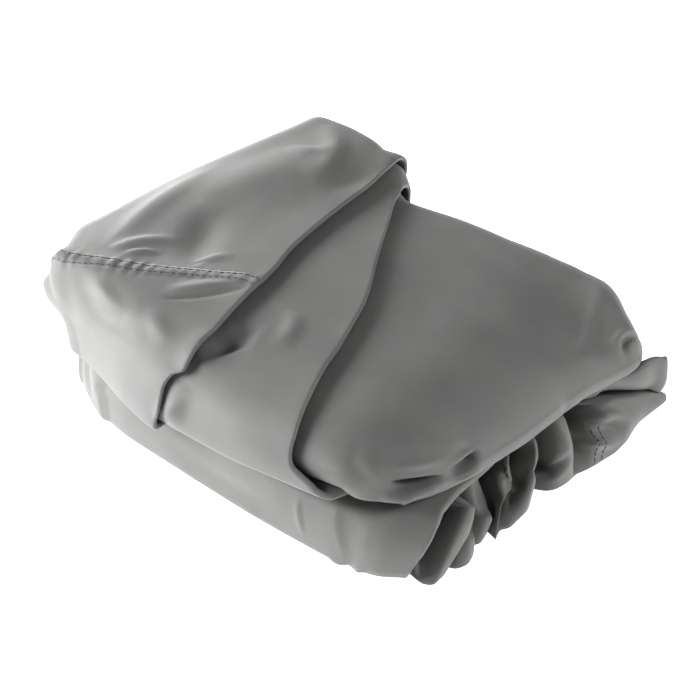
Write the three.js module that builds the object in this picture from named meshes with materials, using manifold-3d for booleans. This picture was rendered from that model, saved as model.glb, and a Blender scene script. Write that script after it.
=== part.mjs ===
// A cover for an outboard motor, folded flat into a bundle: grey coated cloth sewn from three panels.
// +X runs along the long side of the bundle, +Y from its front to its back and +Z up from the underside.
// The cover lies as two packets. The upper one is a stack of flat folds whose front and back edges are
// turned down and tucked under. The lower one is the skirt, whose gathered hem spills out at the +X end.
// A place on the cloth is given by its row, along the folded length, and by s, from 0 at the front tuck
// to 1 at the back tuck. All lengths are in millimetres.
import * as THREE from 'three';
import { mergeVertices } from 'three/addons/utils/BufferGeometryUtils.js';
import Module from 'manifold-3d';

const wasm = await Module();
wasm.setup();

const sheet = 1.5;              // thickness of the cloth
const noseRadius = 3;           // where a face turns under
const tuckLength = 28;          // cloth turned under at the front and back of the upper packet
const skirtTuck = 8;            // and of the lower one
const roundness = 2.3;          // of the rounds across the bundle: 2 is an ellipse, more is squarer
const endRoundness = 3;         // of the loose folds at the left end
const rimRoundness = 2.2;       // of the body's fall to its rim
const seamGap = 0.3;            // between two panels at their seam
const seamFoot = 60;            // height at which the crown panel's seam passes round the ends
const seamLeft = -152;          // where the crown panel turns down over the left end
const skirtTop = 27.5;          // height of the layer that the gathered hem hangs from
const skirtFloor = sheet / 2;   // middle of the bottom layer's cloth
const wallFold = 4.2;           // between the skirt's two uppermost layers at their fold

// The zones of s: front tuck, front nose, front face, top, back face, back nose, back tuck.
const zone = { nose: 0.07, face: 0.12, top: 0.40, topEnd: 0.72, faceEnd: 0.90, noseEnd: 0.94 };

// The first row of a table names its columns.
const table = ([names, ...rows]) => (
  rows.map((row) => Object.fromEntries(names.map((name, k) => [name, row[k]])))
);

// The upper packet across the bundle, at stations along x: the front and back faces stand at front and
// back, turn under at slit, and round over into the top within frontRound and backRound.
const upperStations = table([
  ['x', 'front', 'slit', 'frontRound', 'frontTop', 'midTop', 'backTop', 'backRound', 'back'],
  [-175, -107, 43, 14, 95, 97, 98, 26, 154],
  [-160, -106, 42, 12, 99, 100, 101, 26, 156],
  [-145, -105, 40.5, 16, 100, 102, 102, 26, 158],
  [-125, -109, 40.2, 30, 100, 102, 102, 26, 159],
  [-100, -115, 40.1, 48, 99, 102, 101, 26, 157],
  [-70, -123, 41.2, 71, 99, 101, 99, 26, 147],
  [-45, -127, 42, 87, 99, 101, 98, 26, 139],
  [0, -126, 42, 80, 98, 101, 99, 28, 142],
  [45, -122, 43, 66, 97, 100, 98, 30, 147],
  [75, -119, 44, 58, 96, 99, 96, 32, 149],
  [95, -105, 44, 52, 95, 98, 94, 34, 147],
  [110, -93, 44, 50, 95, 98, 92, 34, 145],
  [125, -82, 44, 46, 95, 98, 90, 34, 140],
  [150, -57, 44, 42, 95, 98, 88, 34, 128],
]);

// The lower packet in the same way.
const lowerStations = table([
  ['x', 'front', 'slit', 'frontRound', 'frontTop', 'midTop', 'backTop', 'backRound', 'back'],
  [-155, -89, 5.6, 20, 32, 34, 33, 20, 118],
  [-140, -101, 5.6, 16, 34, 36, 35, 20, 124],
  [-120, -109, 5.4, 14, 35, 36, 35, 20, 128],
  [-80, -114, 5.4, 12, 35.5, 36.5, 36, 20, 130],
  [0, -114, 5.4, 12, 36, 37, 36, 20, 130],
  [80, -110, 5.4, 14, 37, 38, 37, 20, 130],
  [106, -104, 5.4, 22, 37, 38, 37, 20, 129],
  [120, -95, 5.4, 28, 36, 38, 37, 20, 128],
  [135, -88, 5.4, 30, 36, 38, 37, 20, 127],
  [165, -80, 5.4, 30, 36, 38, 37, 20, 125],
]);

// Fold lines across the bundle, as x against s: the left end, the free fold of the crown flap, that of
// the flap under it, the lower rim of the body, and the inner ends of the two flaps.
const foldLines = table([
  ['s', 'leftEnd', 'crownFold', 'flapFold', 'bodyRim', 'crownInner', 'flapInner'],
  [0, -144, -28, 74, 109, -38, 24],
  [0.07, -145, -30, 73, 110, -40, 19],
  [0.12, -146, -31, 72, 111, -42, 14],
  [0.16, -150, -32, 60, 114, -45, 5],
  [0.2, -172, -33, 53, 117, -49, -10],
  [0.25, -171, -33, 48, 119, -56, -30],
  [0.31, -170, -34, 42, 122, -76, -58],
  [0.4, -170, -41, 30, 126, -122, -108],
  [0.48, -169, -46, 14, 132, -143, -139],
  [0.56, -165, -52, -9, 135, -142, -138],
  [0.64, -158, -61, -30, 144, -140, -136],
  [0.72, -152, -68, -49, 149, -128, -122],
  [0.8, -150, -71, -57, 143, -114, -109],
  [0.9, -148, -72, -60, 133, -112, -107],
  [1, -147, -72, -61, 125, -111, -106],
]);

// The skirt's left ends, outer and inner, its upper fold, and how far that sags towards the floor.
const skirtLines = table([
  ['s', 'outerEnd', 'innerEnd', 'fold', 'sag'],
  [0, -150, -146, 133, 0],
  [0.07, -151, -146, 124, 0],
  [0.12, -152, -146, 121, 0],
  [0.2, -154, -145, 121, 0],
  [0.3, -153, -143, 122, 0],
  [0.4, -152, -144, 125, 0],
  [0.435, -151, -145, 130, 0],
  [0.48, -150, -146, 130, 0],
  [0.51, -149.5, -145, 124, 0],
  [0.54, -149, -143, 118, 0],
  [0.6, -151, -141, 119, 0],
  [0.63, -153, -142, 129, 0.08],
  [0.665, -154, -144, 141, 0.16],
  [0.71, -153, -145, 154, 0.27],
  [0.78, -151, -144, 161, 0.33],
  [0.85, -150, -142, 151, 0.33],
  [1, -149, -141, 128, 0.3],
]);

// The layers in the order the cloth runs, each from its left fold to its right one (way 1) or back
// (way -1). depth is measured in from the outermost layer at the top, inset from the front and back,
// lift up from the slit; open is 0 where the edges are turned under and 1 where they lie flat. Where two
// values are given they hold at the left and the right, and turn or change says between which shares of
// the length, or which stations, one passes into the other.
const upperLayers = [
  {
    way: -1, left: 'leftEnd', right: 60, depth: 56, inset: [12, 41], lift: 2, open: 1,
    turn: [0, 0.13], shares: [0, 0.06, 0.14, 1],
  },
  {
    way: 1, left: 'leftEnd', right: 'crownFold', depth: 0, inset: 0, lift: 0, open: 0,
    steps: 7, bend: 5, bulge: 15,
  },
  {
    way: -1, left: 'crownInner', right: 'crownFold', depth: 4, inset: 2.7, lift: 2.2, open: 0,
    steps: 5, bend: 3,
  },
  {
    way: 1, left: 'crownInner', right: 'flapFold', depth: 8, inset: 5.4, lift: 4.4, open: 0,
    steps: 9, bend: 3,
  },
  {
    way: -1, left: 'flapInner', right: 'flapFold', depth: 12, inset: 8.1, lift: 6.6, open: 0,
    steps: 5, bend: 3,
  },
  {
    way: 1, left: 'flapInner', right: 'bodyRim', depth: 16, inset: 13, lift: [8.8, 1], open: [0, 1],
    change: [74, 92], steps: 11, bend: 3, rim: 45.2, fallFrom: 56,
  },
  {
    way: -1, left: -142, right: 'bodyRim', depth: 45, inset: [42, 14], lift: 12, open: 1,
    turn: [0.76, 0.98], shares: [0, 0.3, 0.62, 0.75, 0.87, 1], bend: 3, rim: 41.7, fallFrom: 66,
  },
  { way: 1, left: -142, right: 92, depth: 37, inset: 40, lift: 18, open: 1, steps: 1, bend: 3 },
  { way: -1, left: -138, right: 92, depth: 27, inset: 36, lift: 18, open: 1, steps: 1, bend: 3 },
];

// The skirt's inner folds and its bottom layer, then past the gathered hem its upper layers. height sets
// a layer level, and the two layers with a wall stand on the floor at the front and sag at their fold.
const skirtInner = [
  {
    way: 1, left: 'innerEnd', right: 98, height: 19, inset: [14, 34],
    change: [-136, -100], shares: [0, 0.09, 0.18, 1],
  },
  {
    way: -1, left: -146, right: 98, height: 10, inset: [14, 34],
    change: [-136, -100], shares: [0, 0.09, 0.18, 1], bend: 3,
  },
  {
    way: 1, left: -146, right: 106, height: skirtFloor, inset: [14, 3],
    turn: [0.02, 0.26], shares: [0, 0.14, 0.27, 0.6, 1], bend: 3,
  },
];
const skirtOuter = [
  { way: -1, left: 'outerEnd', right: 112, height: skirtTop, inset: 20, steps: 2 },
  {
    way: 1, left: 'outerEnd', right: 'fold', depth: 0, inset: 0, lift: [0, -2.4], open: [0, 1], tuck: skirtTuck,
    change: [80, 98], shares: [0, 0.14, 0.38, 0.62, 0.82, 0.88, 0.94, 1], bend: 4, bulge: 8, wall: true,
  },
  {
    way: -1, left: -100, right: 'fold', depth: [5, 4.2], inset: [12, 4], low: [30, 7],
    open: 1, change: [60, 100], steps: 3, bend: 3, wall: true,
  },
];

// The gathered hem, front to back: each line runs from under the skirt's upper fold over a crest, down
// past mid to the foot, and leans forward as it falls. s places it along the hem.
const hemLines = [
  { s: 0, crest: [111, -84, 22], mid: [110, -89, 12], foot: [109, -93, 0.8] },
  { s: 0.3, crest: [114, -75, 24], mid: [115, -82, 12], foot: [114, -88, 0.8] },
  { s: 0.4, crest: [117, -65, 26], mid: [119, -75, 13], foot: [121, -83, 0.8] },
  { s: 0.42, crest: [123, -54, 29], mid: [129, -72, 15], foot: [132, -86, 0.8] },
  { s: 0.435, crest: [127, -46, 28], mid: [133, -65, 14], foot: [134, -79, 0.8] },
  { s: 0.45, crest: [122, -41, 25], mid: [126, -56, 12], foot: [130, -69, 0.8] },
  { s: 0.465, crest: [122, -35, 25], mid: [132, -50, 11], foot: [138, -61, 0.8] },
  { s: 0.48, crest: [123, -28, 26], mid: [131, -41, 13], foot: [138, -51, 0.8] },
  { s: 0.495, crest: [122, -19, 27], mid: [126, -32, 14], foot: [132, -42, 0.8] },
  { s: 0.51, crest: [129, -8, 31], mid: [133, -23, 20], foot: [138, -33, 0.8] },
  { s: 0.525, crest: [126, 0, 33], mid: [131, -14, 20], foot: [139, -24, 0.8] },
  { s: 0.54, crest: [131, 9, 35], mid: [139, -4, 19], foot: [141, -14, 0.8] },
  { s: 0.555, crest: [124, 17, 34], mid: [131, 6, 17], foot: [139, -3, 0.8] },
  { s: 0.57, crest: [131, 25, 34], mid: [139, 17, 16], foot: [143, 10, 0.8] },
  { s: 0.585, crest: [138, 33, 35], mid: [145, 29, 22], foot: [144, 24, 0.8] },
  { s: 0.605, crest: [130, 46, 34], mid: [142, 43, 20], foot: [149, 41, 0.8] },
  { s: 0.63, crest: [139, 62, 32], mid: [149, 61, 19], foot: [152, 60, 0.8] },
  { s: 0.665, crest: [147, 84, 23], mid: [157, 85, 16], foot: [154, 82, 3] },
  { s: 0.71, crest: [156, 108, 19], mid: [164, 113, 17], foot: [154, 105, 9] },
  { s: 0.85, crest: [137, 113, 14], mid: [145, 118, 11], foot: [136, 114, 2] },
  { s: 1, crest: [113, 114, 15], mid: [114, 119, 9], foot: [112, 119, 0.8] },
];


// Where the cloth is divided: rows of the hem between its foot (1) and crest (3), and places across.
const hemSteps = [0.5, 1, 1.5, 2, 2.5, 3, 3.5];
const upperPlaces = [0, 0.07, 0.12, 0.17, 0.23, 0.31, 0.4, 0.48, 0.56, 0.64, 0.72, 0.79, 0.86, 0.9, 0.94, 1];
const gathers = hemLines.slice(2, -2).map((line) => line.s);
const lowerPlaces = [0, 0.07, 0.12, 0.2, 0.3, ...gathers, 0.78, 0.86, 0.93, 1];

// A smooth curve through given values: in each span a cubic whose end slopes are the neighbours' mean.
function through(xs, ys, at) {
  const last = xs.length - 1;
  const x = Math.min(Math.max(at, xs[0]), xs[last]);
  let i = 0;
  while (i < last - 1 && x > xs[i + 1]) i += 1;
  const chord = (k) => (ys[k + 1] - ys[k]) / (xs[k + 1] - xs[k]);
  const slope = (k) => {
    if (k === 0) return chord(0);
    if (k === last) return chord(last - 1);
    if (chord(k - 1) * chord(k) <= 0) return 0;
    return 2 / (1 / chord(k - 1) + 1 / chord(k));
  };
  const h = xs[i + 1] - xs[i];
  const f = (x - xs[i]) / h;
  const bend = slope(i) * h * f * (1 - f) ** 2 - slope(i + 1) * h * f * f * (1 - f);
  return ys[i] * (1 + 2 * f) * (1 - f) ** 2 + ys[i + 1] * f * f * (3 - 2 * f) + bend;
}

const column = (rows, key, name, at) => (
  through(rows.map((row) => row[key]), rows.map((row) => row[name]), at)
);
const mix = (a, b, f) => a + (b - a) * f;
const pair = (value, f) => (Array.isArray(value) ? mix(value[0], value[1], f) : value);
const power = (value) => Math.abs(value) ** (2 / roundness);
const ease = (f) => {
  const t = Math.min(Math.max(f, 0), 1);
  return t * t * (3 - 2 * t);
};

function edgeAt(edge, s) {
  if (typeof edge === 'number') return edge;
  return column(edge in skirtLines[0] ? skirtLines : foldLines, 's', edge, s);
}

// Where the cloth lies at x and s. The faces and the top are quarter rounds that meet in a flat; with the
// edges turned under, a nose and a tuck come before the front round and after the back one.
function across(stations, x, s, lie) {
  const size = {};
  for (const name of Object.keys(stations[0])) size[name] = column(stations, 'x', name, x);
  const height = (top) => (lie.height === undefined ? top - lie.depth : lie.height);
  const taken = mix(0.5, 1, lie.open) * lie.inset;
  const frontReach = Math.max(size.frontRound - taken, 10);
  const backReach = Math.max(size.backRound - taken, 14);
  if (s >= zone.top && s <= zone.topEnd) {
    const f = (s - zone.top) / (zone.topEnd - zone.top);
    const y = mix(size.front + lie.inset + frontReach, size.back - lie.inset - backReach, f);
    const frontPart = mix(size.frontTop, size.midTop, ease(2 * f));
    return [x, y, height(f < 0.5 ? frontPart : mix(size.midTop, size.backTop, ease(2 * f - 1)))];
  }
  const isBack = s > zone.topEnd;
  const edge = isBack ? size.back - lie.inset : size.front + lie.inset;
  const reach = isBack ? -backReach : frontReach;
  const top = height(isBack ? size.backTop : size.frontTop);
  const foot = Math.min(lie.low === undefined ? size.slit + lie.lift : lie.low, top);
  const whole = isBack ? (1 - s) / (1 - zone.topEnd) : s / zone.top;
  if (lie.even) {
    const rise = (1 - (1 - whole) ** roundness) ** (1 / roundness);
    return [x, edge + reach * whole, foot + (top - foot) * rise];
  }
  const onRound = (f) => {
    const turn = (f * Math.PI) / 2;
    return [x, edge + reach * (1 - power(Math.cos(turn))), foot + (top - foot) * power(Math.sin(turn))];
  };
  const flat = onRound(whole);
  if (lie.open >= 1) return flat;
  const turned = turnedUnder(x, s, edge, foot, lie, onRound);
  return turned.map((value, k) => mix(value, flat[k], lie.open));
}

// The same place with the edge turned under: a part of the round, the nose or the tuck.
function turnedUnder(x, s, edge, foot, lie, onRound) {
  const isBack = s > zone.topEnd;
  const inward = isBack ? -1 : 1;
  const [tuckEnd, nose, face, top] = isBack
    ? [1, zone.noseEnd, zone.faceEnd, zone.topEnd]
    : [0, zone.nose, zone.face, zone.top];
  if ((s - face) * inward >= 0) return onRound((s - face) / (top - face));
  if ((s - nose) * inward >= 0) {
    const turn = ((s - nose) / (face - nose)) * Math.PI / 2;
    return [x, edge + inward * noseRadius * (1 - Math.sin(turn)), foot - noseRadius * Math.cos(turn)];
  }
  const tuck = (lie.tuck - 1.2 * lie.inset) * ((s - nose) / (tuckEnd - nose));
  return [x, edge + inward * (noseRadius + tuck), foot - noseRadius];
}

// How a layer lies at x, a fraction f of the way from its left fold to its right one.
function lieOf(layer, f, x) {
  const [from, to] = layer.change || layer.turn || [0, 1];
  const share = ease(((layer.change ? x : f) - from) / (to - from));
  const inset = pair(layer.inset, share);
  const { height, tuck = tuckLength } = layer;
  if (height !== undefined) return { inset, height, low: height, open: 1, even: true };
  const [depth, lift, low, open] = ['depth', 'lift', 'low', 'open'].map((name) => pair(layer[name], share));
  return { inset, depth, lift, low, open, tuck, even: layer.open === 1 && !layer.wall };
}

// The body falls from its top to its rim in one quarter round that begins well inside the fold.
function fall(layer, x, s, z) {
  const t = Math.min(Math.max((x - layer.fallFrom) / (edgeAt(layer.right, s) - layer.fallFrom), 0), 1);
  if (layer.way < 0) return mix(z, layer.rim, ease(t));
  return layer.rim + (z - layer.rim) * (1 - t ** rimRoundness) ** (1 / rimRoundness);
}

function layerPoint(stations, layer, x, f, s) {
  const [, y, z] = across(stations, x, s, lieOf(layer, f, x));
  if (layer.rim) return [x, y, fall(layer, x, s, z)];
  if (!layer.wall) return [x, y, z];
  const sag = column(skirtLines, 's', 'sag', s) * ease((x - 96) / 50);
  return [x, y, mix(z, skirtFloor + 2, sag)];
}

const levelOf = (layer) => {
  if (layer.height !== undefined) return layer.height;
  return layer.wall ? 36 : 100 - layer.depth;
};
const foldStep = (a, b) => {
  if (a.rim && b.rim) return a.rim - b.rim;
  if (a.wall && b.wall) return wallFold;
  return Math.abs(levelOf(a) - levelOf(b));
};
const bulgeOf = (a, b) => (a && b ? b.bulge || foldStep(a, b) / 2 : 0);

// The two fold ends of a layer, drawn in by half the step to the layer it turns into.
function layerEnds(layers, k, s) {
  const layer = layers[k];
  const before = bulgeOf(layers[k - 1], layer);
  const after = bulgeOf(layer, layers[k + 1]);
  const [atLeft, atRight] = layer.way > 0 ? [before, after] : [after, before];
  return [edgeAt(layer.left, s) + atLeft, edgeAt(layer.right, s) - atRight];
}

// The rows of one back-and-forth run of layers: each layer's straight rows, then the fold into the next.
function foldedRows(stations, layers, places) {
  const rows = [];
  layers.forEach((layer, k) => {
    const shares = layer.shares || Array.from({ length: layer.steps + 1 }, (_, i) => i / layer.steps);
    for (const share of layer.way > 0 ? shares : [...shares].reverse()) {
      rows.push(places.map((s) => {
        const [x0, x1] = layerEnds(layers, k, s);
        return layerPoint(stations, layer, mix(x0, x1, share), share, s);
      }));
    }
    if (k + 1 < layers.length) rows.push(...foldRows(stations, layers, k, places, rows[rows.length - 1]));
  });
  return rows;
}

// The fold from layer k into the next: half a turn whose ends are the two layers' end rows.
function foldRows(stations, layers, k, places, start) {
  const layer = layers[k];
  const next = layers[k + 1];
  const stop = places.map((s) => {
    const end = layerEnds(layers, k + 1, s)[layer.way > 0 ? 1 : 0];
    return layerPoint(stations, next, end, layer.way > 0 ? 1 : 0, s);
  });
  const squareness = next.bulge ? 2 / endRoundness : 1;
  return Array.from({ length: next.bend - 1 }, (_, m) => {
    const turn = ((m + 1) / next.bend) * Math.PI;
    const out = Math.sin(turn) ** squareness * bulgeOf(layer, next) * layer.way;
    const part = (1 - Math.sign(Math.cos(turn)) * Math.abs(Math.cos(turn)) ** squareness) / 2;
    return places.map((s, j) => start[j].map((value, c) => mix(value, stop[j][c], part) + (c ? 0 : out)));
  });
}

// The rows of the gathered hem, from the bottom layer's end round to the upper layer's start.
function hemRows(from, to, places) {
  const along = hemLines.map((line) => line.s);
  const at = (name, c, s) => through(along, hemLines.map((line) => line[name][c]), s);
  return hemSteps.map((u) => places.map((s, j) => [0, 1, 2].map((c) => {
    const points = [from[j][c], at('foot', c, s), at('mid', c, s), at('crest', c, s), to[j][c]];
    return through([0, 1, 2, 3, 4], points, u);
  })));
}

// A closed sheet: each point of the middle surface moves half the thickness both ways along the mean
// direction of its neighbours' cross product.
function sheetSolid(rows, thickness) {
  const within = (k, list) => Math.min(Math.max(k, 0), list.length - 1);
  const point = (i, j) => new THREE.Vector3(...rows[within(i, rows)][within(j, rows[0])]);
  const between = (a, b) => point(...b).sub(point(...a)).normalize();
  const skin = (offset) => rows.map((row, i) => row.map((_, j) => {
    const along = between([i, j], [i + 1, j]).add(between([i - 1, j], [i, j]));
    const over = between([i, j], [i, j + 1]).add(between([i, j - 1], [i, j]));
    return point(i, j).add(along.cross(over).normalize().multiplyScalar(offset)).toArray();
  }));
  return slabSolid(skin(thickness / 2), skin(-thickness / 2));
}

// The solid between two grids of points of the same layout.
function slabSolid(first, second) {
  const [n, m] = [first.length, first[0].length];
  const indices = [];
  const quad = (a, b, c, d) => indices.push(a, b, c, a, c, d);
  const a = (i, j) => i * m + j;
  const b = (i, j) => n * m + i * m + j;
  for (let i = 0; i + 1 < n; i += 1) {
    for (let j = 0; j + 1 < m; j += 1) {
      quad(a(i, j), a(i + 1, j), a(i + 1, j + 1), a(i, j + 1));
      quad(b(i, j), b(i, j + 1), b(i + 1, j + 1), b(i + 1, j));
    }
    quad(a(i, 0), b(i, 0), b(i + 1, 0), a(i + 1, 0));
    quad(a(i, m - 1), a(i + 1, m - 1), b(i + 1, m - 1), b(i, m - 1));
  }
  for (let j = 0; j + 1 < m; j += 1) {
    quad(a(0, j), a(0, j + 1), b(0, j + 1), b(0, j));
    quad(a(n - 1, j), b(n - 1, j), b(n - 1, j + 1), a(n - 1, j + 1));
  }
  return solidFrom([...first.flat(2), ...second.flat(2)], indices);
}

function solidFrom(positions, indices) {
  const solid = new wasm.Manifold(new wasm.Mesh({
    numProp: 3, vertProperties: new Float32Array(positions), triVerts: new Uint32Array(indices),
  }));
  if (solid.volume() > 0) return solid;
  const flipped = [];
  for (let i = 0; i < indices.length; i += 3) flipped.push(indices[i], indices[i + 2], indices[i + 1]);
  return solidFrom(positions, flipped);
}

function solidOf(geometry) {
  geometry.deleteAttribute('normal');
  geometry.deleteAttribute('uv');
  const merged = mergeVertices(geometry, 1e-4);
  return solidFrom([...merged.attributes.position.array], [...merged.index.array]);
}

function geometryOf(solid) {
  const mesh = solid.getMesh();
  const geometry = new THREE.BufferGeometry();
  geometry.setAttribute('position', new THREE.BufferAttribute(new Float32Array(mesh.vertProperties), 3));
  geometry.setIndex(new THREE.BufferAttribute(new Uint32Array(mesh.triVerts), 1));
  geometry.computeVertexNormals();
  return geometry;
}

// The crown seam runs where the front round meets the top.
const seamY = (x) => column(upperStations, 'x', 'front', x) + column(upperStations, 'x', 'frontRound', x);

// The room behind the crown seam: above a surface midway between the crown flap and the flap under it,
// past the seam in plan, down to the seam's foot, and all of the left end. grow widens it on every side.
function crownRoom(grow) {
  const xs = Array.from({ length: 13 }, (_, i) => mix(seamLeft, -28, i / 12));
  const places = upperPlaces.filter((s) => s >= zone.top - 0.1 && s <= zone.noseEnd);
  const shell = (depth, inset) => {
    const lie = { depth, inset, lift: inset, open: 0 };
    return xs.map((x) => places.map((s) => across(upperStations, x, s, lie)));
  };
  const inside = shell(6 + grow, 4 + grow);
  const outside = shell(-15, -15);
  const slab = slabSolid(inside, outside);
  const end = new THREE.BoxGeometry(60, 320, 100);
  end.translate(seamLeft + grow - 30, 20, seamFoot - grow + 50);
  const seam = [-200, ...Array.from({ length: 13 }, (_, i) => mix(-170, -20, i / 12))];
  const plan = new THREE.Shape();
  plan.moveTo(-20, 200);
  plan.lineTo(-200, 200);
  for (const x of seam) plan.lineTo(x, seamY(x) - grow);
  plan.closePath();
  const behind = new THREE.ExtrudeGeometry(plan, { depth: 100, bevelEnabled: false });
  behind.translate(0, 0, seamFoot - grow);
  return slab.add(solidOf(end)).intersect(solidOf(behind));
}

const upperRows = foldedRows(upperStations, upperLayers, upperPlaces);
const innerRows = foldedRows(lowerStations, skirtInner, lowerPlaces);
const outerRows = foldedRows(lowerStations, skirtOuter, lowerPlaces);
const gathered = hemRows(innerRows[innerRows.length - 1], outerRows[0], lowerPlaces);
const lowerRows = [...innerRows, ...gathered, ...outerRows];

const upper = sheetSolid(upperRows, sheet);
const crown = upper.intersect(crownRoom(0));
const side = upper.subtract(crownRoom(seamGap));
const skirt = sheetSolid(lowerRows, sheet);

const cover = new THREE.Group();
const cloth = { roughness: 0.62, metalness: 0 };
const panels = [
  { name: 'crown_panel', solid: crown, colour: 0x8a8a88 },
  { name: 'side_panel', solid: side, colour: 0x858583 },
  { name: 'skirt_panel', solid: skirt, colour: 0x80807e },
];
const box = new THREE.Box3();
for (const panel of panels) {
  const material = new THREE.MeshStandardMaterial({ ...cloth, color: panel.colour });
  const mesh = new THREE.Mesh(geometryOf(panel.solid), material);
  mesh.name = panel.name;
  mesh.geometry.computeBoundingBox();
  box.union(mesh.geometry.boundingBox);
  cover.add(mesh);
}

// The frame's origin is the middle of the underside.
const middle = box.getCenter(new THREE.Vector3());
for (const mesh of cover.children) mesh.geometry.translate(-middle.x, -middle.y, -box.min.z);

export default cover;
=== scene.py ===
import bpy
import numpy as np
from math import radians
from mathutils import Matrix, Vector


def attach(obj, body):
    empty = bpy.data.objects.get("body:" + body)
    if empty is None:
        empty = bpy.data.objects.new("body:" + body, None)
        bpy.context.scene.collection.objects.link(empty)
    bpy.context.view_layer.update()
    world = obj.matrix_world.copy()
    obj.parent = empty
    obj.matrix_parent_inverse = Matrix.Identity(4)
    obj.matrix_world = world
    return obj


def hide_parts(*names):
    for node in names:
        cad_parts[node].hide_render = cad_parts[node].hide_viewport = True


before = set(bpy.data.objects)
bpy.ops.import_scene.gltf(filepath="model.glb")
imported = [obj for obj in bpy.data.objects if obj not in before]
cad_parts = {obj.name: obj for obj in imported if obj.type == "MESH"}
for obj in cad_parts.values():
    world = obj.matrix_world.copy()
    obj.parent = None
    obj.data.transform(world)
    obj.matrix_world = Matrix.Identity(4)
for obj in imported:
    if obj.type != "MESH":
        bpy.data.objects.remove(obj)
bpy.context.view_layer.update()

mm = 0.001

# The cover lies as two packets of cloth. A place on the cloth is given by its row, along the folded
# length, and by s, from 0 at the front tuck to 1 at the back tuck. Tables are in millimetres, measured
# from the point that tableOrigin names in the frame.
cover = {
    "tableOrigin": (3.49, -16.02, 0.0),   # where the tables' zero lies in the frame
    "cloth": 1.0,                         # thickness
    "noseRadius": 3.0,                    # where a face turns under
    "tuckLength": 28.0,                   # cloth turned under at the front and back of the upper packet
    "skirtTuck": 8.0,                     # and of the lower one
    "tuckLoss": 1.2,                      # times a layer's inset, which its tuck is shorter by
    "leastReach": (10, 14),               # of the rounds at the front and back, on the deepest layers
    "roundness": 2.3,                     # of the rounds across the bundle: 2 is an ellipse
    "endRoundness": 3.0,                  # of the loose folds at the left end
    "rimRoundness": 1.85,                 # of the body's fall to its rim
    "unevenness": 0.5,                    # of the upper packet
    "overlap": 8,                         # how far fine rows run on under the layer that hides them
    "topLevel": 100,                      # about where the upper packet's top lies
    "skirtBulge": 2.1,                    # of the fold between the lower packet's two top layers
    "floor": 0.75,                        # middle of the bottom layer's cloth
}
# Where the skirt's loose end begins to sink, over what length, and how far over the floor it stays.
sinking = {"from": 96, "length": 50, "above": 2}
# The zones of s: front tuck, front nose, front face, top, back face, back nose, back tuck.
zone = {"nose": 0.07, "face": 0.12, "top": 0.40, "topEnd": 0.72, "faceEnd": 0.90, "noseEnd": 0.94}


# The first row names the columns; each becomes an array.
def table(names, *rows):
    return {name: np.array([row[k] for row in rows], float) for k, name in enumerate(names.split())}


upperStations = table(
    "x front slit frontRound frontTop midTop backTop backRound back",
    (-175, -107, 43, 14, 95, 97, 98, 26, 154),
    (-160, -106, 42, 12, 99, 100, 101, 26, 156),
    (-145, -105, 40.5, 16, 100, 102, 102, 26, 158),
    (-125, -109, 40.2, 30, 100, 102, 102, 26, 159),
    (-100, -115, 40.1, 48, 99, 102, 101, 26, 157),
    (-70, -123, 41.2, 75, 99, 101, 99, 26, 147),
    (-45, -127, 42, 93, 99, 101, 98, 26, 139),
    (0, -126, 42, 84, 98, 101, 99, 28, 142),
    (45, -122, 43, 66, 97, 100, 98, 30, 147),
    (75, -119, 44, 58, 96, 99, 96, 32, 149),
    (95, -109, 44, 52, 95, 98, 94, 34, 147),
    (110, -96, 44, 50, 95, 98, 92, 34, 145),
    (125, -82, 44, 46, 95, 98, 90, 34, 140),
    (150, -57, 44, 42, 95, 98, 88, 34, 128),
)
lowerStations = table(
    "x front slit frontRound frontTop midTop backTop backRound back",
    (-155, -89, 4.2, 20, 32, 34, 33, 20, 118),
    (-140, -101, 4.2, 16, 34, 36, 35, 20, 124),
    (-120, -109, 4.1, 14, 35, 36, 35, 20, 128),
    (-80, -115, 4.1, 12, 35.5, 36.5, 36, 20, 130),
    (0, -115.5, 4.1, 12, 36, 37, 36, 20, 130),
    (80, -112, 4.1, 14, 37, 38, 37, 20, 130),
    (106, -106, 4.1, 22, 37, 38, 37, 20, 129),
    (120, -97, 4.1, 28, 36, 38, 37, 20, 128),
    (135, -88, 4.1, 30, 36, 38, 37, 20, 127),
    (165, -80, 4.1, 30, 36, 38, 37, 20, 125),
)
# Fold lines across the bundle, as x against s.
foldLines = table(
    "s leftEnd crownFold flapFold bodyRim crownInner flapInner",
    (0, -142, -42, 88, 109, -52, 24),
    (0.07, -143, -43, 79, 110, -53, 19),
    (0.12, -144, -43, 70, 111, -53, 14),
    (0.16, -147, -39, 53, 114, -52, 5),
    (0.2, -165, -41, 50, 117, -52, -10),
    (0.225, -168, -39, 49, 118, -54, -20),
    (0.24, -169, -33, 48, 119, -56, -26),
    (0.31, -165, -34, 42, 122, -76, -58),
    (0.4, -164, -41, 30, 126, -122, -108),
    (0.44, -171, -45, 22, 129, -134, -126),
    (0.48, -169, -50, 14, 132, -143, -139),
    (0.56, -165, -55, -9, 135, -142, -138),
    (0.64, -158, -60, -30, 144, -140, -136),
    (0.72, -152, -66, -49, 149, -128, -122),
    (0.8, -150, -71, -57, 143, -114, -109),
    (0.9, -148, -72, -60, 133, -112, -107),
    (1, -147, -72, -61, 125, -111, -106),
)
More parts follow.
